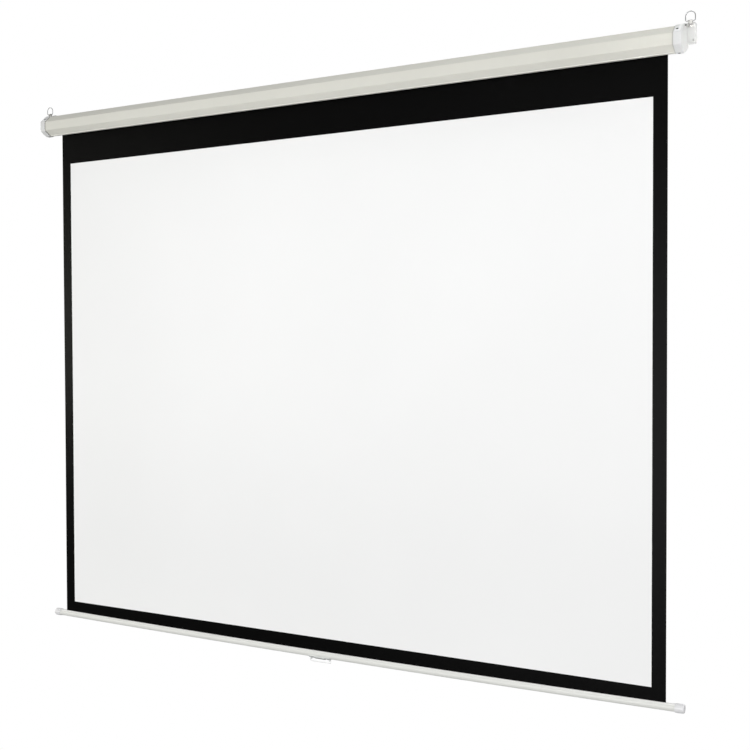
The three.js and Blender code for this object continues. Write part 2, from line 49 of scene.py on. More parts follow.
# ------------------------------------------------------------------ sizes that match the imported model
VIEW_W, VIEW_BOTTOM, VIEW_TOP = 2032.0, -1653.5, -129.5
FABRIC_W, FABRIC_Y, FABRIC_T = 2108.0, -20.0, 0.4
ROLLER_Y = -40.8
CASE_HALF = 1098.2
CAP_IN, CAP_WALL, CAP_OUT, CAP_PROUD, CAP_BELOW = 1081.0, 1098.5, 1101.5, 2.3, 1.3
EAR_IN, EAR_OUT, EAR_FRONT, EAR_BOTTOM, EAR_TOP = 1087.0, 1122.0, -18.0, -5.0, 46.0
RING_X, RING_Y, RING_Z, RING_WIRE, RING_HALF, RING_RISE = 1110.5, -20.6, 49.5, 1.1, 12.3, 23.9
CLASP_T, CLASP_HALF, CLASP_SCREW_Z = 0.9, 6.0, 38.8
BAR_Z, BAR_R, BAR_T, BAR_HALF = -1703.75, 10.25, 1.0, 1084.6
BAR_CAP_R, BAR_CAP_IN, BAR_CAP_OUT = 12.1, 1078.0, 1102.3
BAR_BOW = 6.4            # the ends of the bar hang this much higher than its middle
BAIL_Z, BAIL_WIRE, BAIL_HALF, BAIL_DROP, HANDLE_HALF = -1718.6, 1.0, 36.3, 8.8, 38.0
CASE_BOTTOM = -32.8
SECTION = [(-50.3, CASE_BOTTOM), (-74, -17.8), (-74, 11.8), (-50.3, 34), (-26, 34), (-4, 15), (-4, -12.2), (-37, CASE_BOTTOM)]
CH_A, CH_B = Vector((-74, 11.8)), Vector((-50.3, 34))
CH_DIR = (CH_B - CH_A).normalized()
CH_OUT = Vector((-CH_DIR.y, CH_DIR.x))
CAP_SCREW_X = 1089.0
CAP_SCREW_AT = CH_A + CH_OUT * CAP_PROUD + CH_DIR * 12.4
BOTTOM_SCREW_Y, BOTTOM_FACE = -43.6, CASE_BOTTOM - CAP_BELOW
EAR_HOLES = [(1097.6, 41.8, 2.4), (1116.6, 1.4, 1.6)]
GLAND_AT = (ROLLER_Y, -8.0)
LIMIT_AT = {"limit_screw_up": (ROLLER_Y - 8, 8.0), "limit_screw_down": (ROLLER_Y + 8, 8.0)}
SIDES = (("left", -1.0), ("right", 1.0))


# ------------------------------------------------------------------ camera
def make_camera():
    yaw, pitch, roll = (math.radians(a) for a in (29.590, -1.392, 0.187))
    r = (Matrix.Rotation(yaw, 3, "Z") @ Matrix.Rotation(pitch, 3, "X") @ Matrix.Rotation(roll, 3, "Y"))
    right, fwd, up = r.col[0], r.col[1], r.col[2]
    m = Matrix.Identity(4)
    for i in range(3):
        m[i][0], m[i][1], m[i][2] = right[i], up[i], -fwd[i]
    m[0][3], m[1][3], m[2][3] = 1.80896, -2.86416, -0.77108
    data = bpy.data.cameras.new("camera")
    data.sensor_fit = "HORIZONTAL"
    data.sensor_width = 36.0
    data.lens = 36.0 * 1111.613 / 750.0
    data.clip_start, data.clip_end = 0.01, 200.0
    cam = bpy.data.objects.new("camera", data)
    scene.collection.objects.link(cam)
    cam.matrix_world = m
    scene.camera = cam
    return cam


make_camera()
scene.view_settings.view_transform = "Standard"
scene.view_settings.look = "None"
scene.view_settings.exposure = 0.0
scene.view_settings.gamma = 1.0


# ------------------------------------------------------------------ materials
def new_mat(name):
    m = bpy.data.materials.new(name)
    m.use_nodes = True
    nt = m.node_tree
    nt.nodes.clear()
    out = nt.nodes.new("ShaderNodeOutputMaterial")
    b = nt.nodes.new("ShaderNodeBsdfPrincipled")
    nt.links.new(b.outputs[0], out.inputs[0])
    return m, nt, b


def srgb(v):
    return tuple((c / 12.92 if c <= 0.04045 else ((c + 0.055) / 1.055) ** 2.4) for c in (x / 255.0 for x in v))


def coords(nt, scale=(1, 1, 1)):
    tc = nt.nodes.new("ShaderNodeTexCoord")
    mp = nt.nodes.new("ShaderNodeMapping")
    mp.inputs["Scale"].default_value = scale
    nt.links.new(tc.outputs["Object"], mp.inputs["Vector"])
    return mp.outputs["Vector"]


def noise(nt, vec, scale, detail=3.0, rough=0.5):
    n = nt.nodes.new("ShaderNodeTexNoise")
    n.inputs["Scale"].default_value = scale
    n.inputs["Detail"].default_value = detail
    n.inputs["Roughness"].default_value = rough
    nt.links.new(vec, n.inputs["Vector"])
    return n.outputs["Fac"]


def ramp(nt, fac, stops):
    r = nt.nodes.new("ShaderNodeValToRGB")
    while len(r.color_ramp.elements) > 1:
        r.color_ramp.elements.remove(r.color_ramp.elements[-1])
    first = True
    for pos, col in stops:
        if first:
            e = r.color_ramp.elements[0]
            e.position = pos
            first = False
        else:
            e = r.color_ramp.elements.new(pos)
        e.color = (*col, 1.0) if len(col) == 3 else col
    nt.links.new(fac, r.inputs["Fac"])
    return r.outputs["Color"]


def map_range(nt, v, a, b, c, d):
    m = nt.nodes.new("ShaderNodeMapRange")
    for k, x in zip(("From Min", "From Max", "To Min", "To Max"), (a, b, c, d)):
        m.inputs[k].default_value = x
    nt.links.new(v, m.inputs["Value"])
    return m.outputs["Result"]


def bump(nt, bsdf, height, strength, distance, chain=None):
    b = nt.nodes.new("ShaderNodeBump")
    b.inputs["Strength"].default_value = strength
    b.inputs["Distance"].default_value = distance
    nt.links.new(height, b.inputs["Height"])
    if chain is not None:
        nt.links.new(chain, b.inputs["Normal"])
    if bsdf is not None:
        nt.links.new(b.outputs["Normal"], bsdf.inputs["Normal"])
    return b.outputs["Normal"]


def shade(c, k):
    return tuple(max(0.0, min(1.0, x * k)) for x in c)


def painted(name, col, rough=0.42, peel=0.12, spec=0.5, vary=0.02, rim_shadow_x=None):
    """Powder coated or painted metal: orange peel, slow tone drift, a little dust; optionally a painted shadow line
    next to the rims of the end caps.
    """
    m, nt, b = new_mat(name)
    vec = coords(nt)
    slow = noise(nt, vec, 6.0, 4.0, 0.6)
    col_out = ramp(nt, slow, [(0.3, shade(col, 1 - vary)), (0.7, shade(col, 1 + vary * 0.6))])
    nt.links.new(col_out, b.inputs["Base Color"])
    b.inputs["Specular IOR Level"].default_value = spec
    fine = noise(nt, vec, 900.0, 2.0, 0.5)
    nt.links.new(map_range(nt, fine, 0.3, 0.7, rough - 0.05, rough + 0.07), b.inputs["Roughness"])
    n1 = bump(nt, None, noise(nt, vec, 420.0, 2.0, 0.4), peel, 0.00012)
    bump(nt, b, fine, peel * 0.7, 0.00005, n1)
    if rim_shadow_x is not None:
        # painted shadow: a darker line on the sheet next to the rim of the end caps, standing in for the shade the rim
        # casts there
        tc = nt.nodes.new("ShaderNodeTexCoord")
        sep = nt.nodes.new("ShaderNodeSeparateXYZ")
        nt.links.new(tc.outputs["Object"], sep.inputs[0])
        a = nt.nodes.new("ShaderNodeMath"); a.operation = "ABSOLUTE"
        nt.links.new(sep.outputs["X"], a.inputs[0])
        mix = nt.nodes.new("ShaderNodeMix")
        mix.data_type = "RGBA"
        nt.links.new(map_range(nt, a.outputs[0], rim_shadow_x - 0.0042, rim_shadow_x - 0.0012, 0.0, 1.0), mix.inputs[0])
        nt.links.new(col_out, mix.inputs[6])
        mix.inputs[7].default_value = (*shade(col, 0.62), 1.0)
        nt.links.new(mix.outputs[2], b.inputs["Base Color"])
    return m


def moulded(name, col, rough=0.45, spec=0.5, grain=0.10, vary=0.015):
    """Moulded plastic with a fine spark-eroded grain."""
    m, nt, b = new_mat(name)
    vec = coords(nt)
    slow = noise(nt, vec, 22.0, 3.0, 0.6)
    nt.links.new(ramp(nt, slow, [(0.3, shade(col, 1 - vary)), (0.7, shade(col, 1 + vary))]), b.inputs["Base Color"])
    b.inputs["Specular IOR Level"].default_value = spec
    fine = noise(nt, vec, 1600.0, 2.0, 0.6)
    nt.links.new(map_range(nt, fine, 0.3, 0.7, rough - 0.06, rough + 0.08), b.inputs["Roughness"])
    n1 = bump(nt, None, noise(nt, vec, 160.0, 2.0, 0.4), 0.08, 0.0002)
    bump(nt, b, fine, grain, 0.00006, n1)
    return m


def metal(name, col, rough=0.25, brushed=None, scratch=0.06, vary=0.05, metallic=1.0):
    """Plated, drawn or brushed metal; brushed is the axis letter that the lines run along."""
    m, nt, b = new_mat(name)
    b.inputs["Metallic"].default_value = metallic
    sc = {None: (1, 1, 1), "X": (0.02, 1, 1), "Y": (1, 0.02, 1), "Z": (1, 1, 0.02)}[brushed]
    vec = coords(nt, sc)
    slow = noise(nt, coords(nt), 40.0, 4.0, 0.6)
    nt.links.new(ramp(nt, slow, [(0.3, shade(col, 1 - vary)), (0.7, shade(col, 1 + vary))]), b.inputs["Base Color"])
    fine = noise(nt, vec, 2200.0, 4.0, 0.7)
    nt.links.new(map_range(nt, fine, 0.25, 0.75, rough * 0.75, rough * 1.35), b.inputs["Roughness"])
    bump(nt, b, fine, scratch, 0.00003)
    return m


def weave_height(nt, pitch_mm):
    """Height of a plain weave in the XZ plane."""
    tc = nt.nodes.new("ShaderNodeTexCoord")
    sep = nt.nodes.new("ShaderNodeSeparateXYZ")
    nt.links.new(tc.outputs["Object"], sep.inputs[0])
    k = math.pi / (pitch_mm * MM)

    def wave(sock, phase):
        a = nt.nodes.new("ShaderNodeMath"); a.operation = "MULTIPLY_ADD"
        a.inputs[1].default_value = k
        a.inputs[2].default_value = phase
        nt.links.new(sock, a.inputs[0])
        s = nt.nodes.new("ShaderNodeMath"); s.operation = "SINE"
        nt.links.new(a.outputs[0], s.inputs[0])
        return s.outputs[0]
    p = nt.nodes.new("ShaderNodeMath"); p.operation = "MULTIPLY"
    nt.links.new(wave(sep.outputs["X"], 0.0), p.inputs[0])
    nt.links.new(wave(sep.outputs["Z"], 0.0), p.inputs[1])
    return p.outputs[0]


def screen_white(name):
    """Matt white viewing coat over a fine woven base."""
    m, nt, b = new_mat(name)
    vec = coords(nt)
    slow = noise(nt, vec, 1.6, 3.0, 0.5)
    nt.links.new(ramp(nt, slow, [(0.3, (0.875, 0.878, 0.880)), (0.7, (0.895, 0.898, 0.900))]), b.inputs["Base Color"])
    b.inputs["Specular IOR Level"].default_value = 0.12
    b.inputs["Sheen Weight"].default_value = 0.03
    b.inputs["Sheen Roughness"].default_value = 0.6
    grit = noise(nt, vec, 2600.0, 2.0, 0.6)
    nt.links.new(map_range(nt, grit, 0.3, 0.7, 0.82, 0.95), b.inputs["Roughness"])
    n1 = bump(nt, None, weave_height(nt, 0.55), 0.10, 0.00004)
    bump(nt, b, grit, 0.12, 0.00003, n1)
    return m


def cloth_black(name, tone=0.0024, spec=0.06):
    """Matt black coated cloth with a visible fine weave and light handling marks."""
    m, nt, b = new_mat(name)
    vec = coords(nt)
    marks = noise(nt, vec, 9.0, 5.0, 0.65)
    nt.links.new(ramp(nt, marks, [(0.35, (tone * 0.8,) * 3), (0.62, (tone,) * 3), (0.78, (tone * 1.9,) * 3)]), b.inputs["Base Color"])
    b.inputs["Specular IOR Level"].default_value = spec
    b.inputs["Sheen Weight"].default_value = 0.004
    grit = noise(nt, vec, 1800.0, 2.0, 0.6)
    nt.links.new(map_range(nt, grit, 0.3, 0.7, 0.27, 0.37), b.inputs["Roughness"])
    n1 = bump(nt, None, weave_height(nt, 0.6), 0.35, 0.00006)
    bump(nt, b, grit, 0.2, 0.00004, n1)
    return m


MAT = {
    # the casing paint carries a painted shadow line next to the end-cap rims
    "casing": painted("casing_paint", (0.660, 0.655, 0.600), 0.50, 0.14, 0.42, rim_shadow_x=1.081),
    "bar": painted("bar_paint", (0.745, 0.75, 0.72), 0.42, 0.08, 0.45),
    "cap": moulded("cap_plastic", (0.680, 0.685, 0.685), 0.34, 0.45),
    # lighter copy of the cap plastic for the end face and ear: painted light
    "cap_end_lit": moulded("cap_plastic_end_painted_light", (0.700, 0.702, 0.688), 0.40, 0.4),
    # lighter, glossier plastic for the ring round the screw: painted highlight
    "cap_ring_highlight": moulded("cap_ring_painted_highlight", (0.93, 0.935, 0.94), 0.20, 0.6, 0.02),
    # dark colour for the wall of the ear hole: painted shade
    "hole": moulded("hole_painted_shade", (0.035, 0.034, 0.033), 0.7, 0.2),
    "bar_cap": moulded("bar_cap_plastic", (0.758, 0.758, 0.770), 0.34, 0.5, 0.06),
    "handle": moulded("handle_plastic", (0.76, 0.775, 0.765), 0.42, 0.45),
    # darker copy of the handle plastic for the clip's underside: painted shade
    "handle_underside_shade": moulded("handle_underside_shade", (0.22, 0.222, 0.22), 0.55, 0.3),
    "bail": painted("bail_coating", (0.95, 0.952, 0.95), 0.45, 0.05),
    # a lighter copy of the bar paint for the top of the bar: painted highlight
    "bar_top_highlight": painted("bar_top_painted_highlight", (0.93, 0.93, 0.91), 0.34, 0.05),
    # the hem paint is a lighter copy of the casing paint, a painted highlight, with the same painted shadow line by the
    # cap rims
    "hem": painted("casing_hem_painted_highlight", (0.86, 0.855, 0.80), 0.42, 0.10, 0.42, rim_shadow_x=1.081),
    "white": screen_white("picture_coat"),
    "black": cloth_black("black_cloth", 0.0013, 0.05),
    "back": cloth_black("black_back", 0.006, 0.10),
    "chrome": metal("bright_plate", (0.70, 0.69, 0.67), 0.24, None, 0.05, 0.03, 0.82),
    "strap": metal("strap_plate", (0.60, 0.59, 0.57), 0.26, None, 0.05, 0.04, 0.88),
    "wire": metal("ring_wire", (0.34, 0.345, 0.35), 0.34, None, 0.05, 0.06),
    "zinc": metal("zinc_plate", (0.58, 0.60, 0.63), 0.36, None, 0.08, 0.08),
    "alu": metal("roller_extrusion", (0.76, 0.77, 0.78), 0.30, "X", 0.08, 0.04),
    "motor": metal("motor_sleeve", (0.42, 0.44, 0.46), 0.38, "X", 0.08, 0.06),
    "black_screw": painted("black_oxide", (0.020, 0.020, 0.021), 0.45, 0.10, 0.35, 0.15),
    "dark": moulded("dark_plastic", (0.018, 0.018, 0.020), 0.5, 0.4),
    "grey": moulded("grey_plastic", (0.17, 0.18, 0.19), 0.5, 0.4),
    "nylon": moulded("natural_nylon", (0.78, 0.74, 0.62), 0.45, 0.4),
    "yellow": moulded("yellow_plastic", (0.70, 0.40, 0.03), 0.4, 0.5),
}


# ------------------------------------------------------------------ mesh helpers
def link(name, mesh, mats):
    o = bpy.data.objects.new(name, mesh)
    scene.collection.objects.link(o)
    for m in mats:
        mesh.materials.append(m)
    return o


def make(name, verts_mm, faces, mats, smooth=35.0, face_mats=None):
    me = bpy.data.meshes.new(name)
    me.from_pydata([tuple(c * MM for c in v) for v in verts_mm], [], faces)
    me.validate()
    bm = bmesh.new()
    bm.from_mesh(me)
    bmesh.ops.recalc_face_normals(bm, faces=bm.faces)
    bm.to_mesh(me)
    bm.free()
    if face_mats is not None and len(face_mats) == len(me.polygons):
        me.polygons.foreach_set("material_index", face_mats)
    o = link(name, me, mats)
    smooth_by(o, smooth)
    return o


def smooth_by(o, angle):
    me = o.data
    me.polygons.foreach_set("use_smooth", [True] * len(me.polygons))
    me.set_sharp_from_angle(angle=math.radians(angle))
    me.update()


def boolean(o, cutters, op="DIFFERENCE"):
    """Exact booleans, applied; the cutters are removed."""
    for c in cutters:
        mod = o.modifiers.new("cut", "BOOLEAN")
        mod.operation = op
        mod.solver = "EXACT"
        mod.object = c
        dg = bpy.context.evaluated_depsgraph_get()
        me = bpy.data.meshes.new_from_object(o.evaluated_get(dg))
        o.modifiers.clear()
        old = o.data
        mats = [m for m in old.materials]
        o.data = me
        me.materials.clear()
        for m in mats:
            me.materials.append(m)
        bpy.data.meshes.remove(old)
        cm = c.data
        bpy.data.objects.remove(c)
        bpy.data.meshes.remove(cm)
    return o


def bevel(o, width_mm, segs=2, angle=40.0):
    mod = o.modifiers.new("edge", "BEVEL")
    mod.width = width_mm * MM
    mod.segments = segs
    mod.limit_method = "ANGLE"
    mod.angle_limit = math.radians(angle)
    mod.use_clamp_overlap = True
    mod.miter_outer = "MITER_ARC"
    dg = bpy.context.evaluated_depsgraph_get()
    me = bpy.data.meshes.new_from_object(o.evaluated_get(dg))
    o.modifiers.clear()
    mats = [m for m in o.data.materials]
    o.data = me
    me.materials.clear()
    for m in mats:
        me.materials.append(m)
    return o


def basis(direction):
    d = Vector(direction).normalized()
    a = Vector((0, 0, 1)) if abs(d.z) < 0.9 else Vector((0, 1, 0))
    u = d.cross(a).normalized()
    return u, d.cross(u).normalized(), d


def lathe(name, profile, origin, direction, mats, segs=48, smooth=35.0):
    """profile is [(radius, height)], open ends on the axis are closed by a point."""
    u, w, d = basis(direction)
    o = Vector(origin)
    verts, rings = [], []
    for r, h in profile:
        if r < 1e-6:
            rings.append([len(verts)])
            verts.append(tuple(o + d * h))
        else:
            ids = []
            for k in range(segs):
                a = 2 * math.pi * k / segs
                ids.append(len(verts))
                verts.append(tuple(o + d * h + u * (r * math.cos(a)) + w * (r * math.sin(a))))
            rings.append(ids)
    faces = []

    def strip(a, b):
        if len(a) == 1 and len(b) == 1:
            return
        for k in range(segs):
            j = (k + 1) % segs
            if len(a) == 1:
                faces.append((a[0], b[k], b[j]))
            elif len(b) == 1:
                faces.append((a[k], a[j], b[0]))
            else:
                faces.append((a[k], a[j], b[j], b[k]))
    for a, b in zip(rings, rings[1:]):
        strip(a, b)
    if len(rings[0]) > 1 and len(rings[-1]) > 1:
        strip(rings[-1], rings[0])
    return make(name, verts, faces, mats, smooth)


def arc(cx, cy, r, a0, a1, n):
    return [(cx + r * math.cos(math.radians(a0 + (a1 - a0) * i / n)),
             cy + r * math.sin(math.radians(a0 + (a1 - a0) * i / n))) for i in range(n + 1)]


def offset(pts, d):
    n = len(pts)
    area = sum(pts[i][0] * pts[(i + 1) % n][1] - pts[(i + 1) % n][0] * pts[i][1] for i in range(n))
    s = 1 if area > 0 else -1
    lines = []
    for i in range(n):
        (x0, y0), (x1, y1) = pts[i], pts[(i + 1) % n]
        l = math.hypot(x1 - x0, y1 - y0)
        nx, ny = s * (y1 - y0) / l, -s * (x1 - x0) / l
        lines.append((nx, ny, nx * x0 + ny * y0 + d))
    out = []
    for i in range(n):
        a, b = lines[i - 1], lines[i]
        det = a[0] * b[1] - b[0] * a[1]
        out.append(((a[2] * b[1] - b[2] * a[1]) / det, (a[0] * b[2] - b[0] * a[2]) / det))
    return out


def fillet(pts, radius, n, closed=True):
    """Rounds the corners of a polyline; radius is one number or one per point."""
    m = len(pts)
    rad = radius if hasattr(radius, "__len__") else [radius] * m
    out = []
    for i in range(m):
        p = Vector(pts[i])
        if not closed and i in (0, m - 1):
            out.append(tuple(p))
            continue
        a, b = Vector(pts[i - 1]) - p, Vector(pts[(i + 1) % m]) - p
        la, lb = a.length, b.length
        a.normalize(); b.normalize()
        half = math.acos(max(-1, min(1, a.dot(b)))) / 2
        cut = min(rad[i] / math.tan(half), la * 0.48, lb * 0.48)
        r = cut * math.tan(half)
        bis = (a + b)
        if bis.length < 1e-6 or r < 1e-4:
            out.append(tuple(p))
            continue
        c = p + bis.normalized() * (r / math.sin(half))
        p0, p1 = p + a * cut, p + b * cut
        a0 = math.atan2(p0.y - c.y, p0.x - c.x)
        a1 = math.atan2(p1.y - c.y, p1.x - c.x)
        while a1 - a0 > math.pi:
            a1 -= 2 * math.pi
        while a1 - a0 < -math.pi:
            a1 += 2 * math.pi
        for k in range(n + 1):
            t = a0 + (a1 - a0) * k / n
            out.append((c.x + r * math.cos(t), c.y + r * math.sin(t)))
    return out


def sheet_section(path, t, end_segs=4):
    """Closed outline of a bent sheet of thickness t whose middle follows path, with rounded edges."""
    n = len(path)
    left, right = [], []
    tang = []
    for i in range(n):
        a = Vector(path[max(i - 1, 0)])
        b = Vector(path[min(i + 1, n - 1)])
        tang.append((b - a).normalized())
    for p, d in zip(path, tang):
        nrm = Vector((-d.y, d.x))
        left.append(tuple(Vector(p) + nrm * t / 2))
        right.append(tuple(Vector(p) - nrm * t / 2))

    def cap(p, d, sgn):
        base = math.atan2(d.y, d.x)
        return [(p[0] + t / 2 * math.cos(base + math.radians(sgn * a)), p[1] + t / 2 * math.sin(base + math.radians(sgn * a)))
                for a in [90 - 180 * k / end_segs for k in range(1, end_segs)]]
    return left + cap(path[-1], tang[-1], 1) + right[::-1] + cap(path[0], -tang[0], 1)


def sweep_x(name, outline, x0, x1, mats, cuts=1, smooth=35.0, bevel_mm=0.0):
    """A YZ outline carried along X."""
    n = len(outline)
    xs = [x0 + (x1 - x0) * i / cuts for i in range(cuts + 1)]
    verts = [(x, y, z) for x in xs for (y, z) in outline]
    faces = []
    for s in range(cuts):
        for k in range(n):
            j = (k + 1) % n
            faces.append((s * n + k, s * n + j, (s + 1) * n + j, (s + 1) * n + k))
    faces.append(tuple(range(n))[::-1])
    faces.append(tuple(cuts * n + k for k in range(n)))
    o = make(name, verts, faces, mats, smooth)
    if bevel_mm:
        bevel(o, bevel_mm, 2, 60)
        smooth_by(o, smooth)
    return o


def loft_x(name, rings, mats, smooth=35.0):
    """rings is [(x, outline)], each outline with the same number of points; the ends are filled."""
    n = len(rings[0][1])
    verts = [(x, y, z) for x, ol in rings for (y, z) in ol]
    faces = []
    for s in range(len(rings) - 1):
        for k in range(n):
            j = (k + 1) % n
            faces.append((s * n + k, s * n + j, (s + 1) * n + j, (s + 1) * n + k))
    faces.append(tuple(range(n))[::-1])
    last = (len(rings) - 1) * n
    faces.append(tuple(last + k for k in range(n)))
    return make(name, verts, faces, mats, smooth)


def rounded_box(name, lo, hi, r, mats, segs=3):
    verts = [(x, y, z) for x in (lo[0], hi[0]) for y in (lo[1], hi[1]) for z in (lo[2], hi[2])]
    faces = [(0, 1, 3, 2), (4, 6, 7, 5), (0, 4, 5, 1), (2, 3, 7, 6), (0, 2, 6, 4), (1, 5, 7, 3)]
    o = make(name, verts, faces, mats)
    if r:
        bevel(o, r, segs, 30)
        smooth_by(o, 35)
    return o


def tube(name, pts, r, mats, segs=16, closed=False):
    """A round wire along points."""
    P = [Vector(p) for p in pts]
    n = len(P)
    verts, faces = [], []
    prev = None
    for i in range(n):
        a = P[(i - 1) % n] if closed or i > 0 else P[i]
        b = P[(i + 1) % n] if closed or i < n - 1 else P[i]
        t = (b - a).normalized()
        if prev is None:
            ref = Vector((0, 1, 0)) if abs(t.y) < 0.9 else Vector((0, 0, 1))
            u = t.cross(ref).normalized()
        else:
            u = (prev - t * prev.dot(t)).normalized()
        prev = u
        w = t.cross(u)
        for k in range(segs):
            ang = 2 * math.pi * k / segs
            verts.append(tuple(P[i] + u * (r * math.cos(ang)) + w * (r * math.sin(ang))))
    rings = n if closed else n - 1
    for i in range(rings):
        j = (i + 1) % n
        for k in range(segs):
            l = (k + 1) % segs
            faces.append((i * segs + k, i * segs + l, j * segs + l, j * segs + k))
    if not closed:
        faces.append(tuple(range(segs))[::-1])
        faces.append(tuple((n - 1) * segs + k for k in range(segs)))
    return make(name, verts, faces, mats, 50)


def cross_recess(origin, direction, reach, depth, arm=0.9):
    """Cutters for a cross-head recess: two tapered blades."""
    u, w, d = basis(direction)
    o = Vector(origin)
    out = []
    for a, b in ((u, w), (w, u)):
        verts = []
        for h, k in ((-depth, 0.45), (1.5, 1.25)):
            for sa, sb in ((-1, -1), (1, -1), (1, 1), (-1, 1)):
                verts.append(tuple(o + d * h + a * (sa * reach * k) + b * (sb * arm / 2 * (0.7 if h < 0 else 1.15))))
        faces = [(3, 2, 1, 0), (4, 5, 6, 7), (0, 1, 5, 4), (1, 2, 6, 5), (2, 3, 7, 6), (3, 0, 4, 7)]
        out.append(make("cutter", verts, faces, []))
    return out


def done(o, body, node=None):
    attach(o, body)
    if node:
        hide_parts(*([node] if isinstance(node, str) else node))
    return o


# ------------------------------------------------------------------ casing
def make_casing():
    path = [(-38.1, -27.9), (-38.1, -32.35), (-49.55, -32.35), (-49.55, -30.94), (-73.55, -17.14), (-73.55, 11.6),
            (-50.12, 33.55), (-26.17, 33.55), (-4.45, 14.79), (-4.45, -11.95), (-11.25, -16.2), (-13.1, -13.15)]
    radii = [0, 0.8, 0.7, 0.7, 2.6, 2.6, 2.6, 2.6, 2.6, 2.6, 0.8, 0]
    mid = fillet(path, radii, 6, closed=False)
    outline = sheet_section(mid, 0.85)
    o = sweep_x("casing_body", outline, -CASE_HALF, CASE_HALF, [MAT["casing"], MAT["hem"]], cuts=24, smooth=40)
    # painted highlight: the folded hem along the lower front edge gets the lighter hem paint, standing in for the light
    # it catches
    for poly in o.data.polygons:
        c = poly.center / MM
        if abs(c.y + 50.0) < 0.9 and c.z < -30.9 and poly.normal.y < -0.2:
            poly.material_index = 1
    return done(o, "casing", "casing_shell")


# ------------------------------------------------------------------ end caps
def ring_outline(off, base_r=2.8, n=6):
    low = CASE_BOTTOM - (max(off, 0.0) * CAP_BELOW / CAP_PROUD if off > 0.35 else off)
    pts = [(y, max(z, low)) for y, z in offset(SECTION, off)]
    return fillet(pts, max(0.25, base_r + off), n)


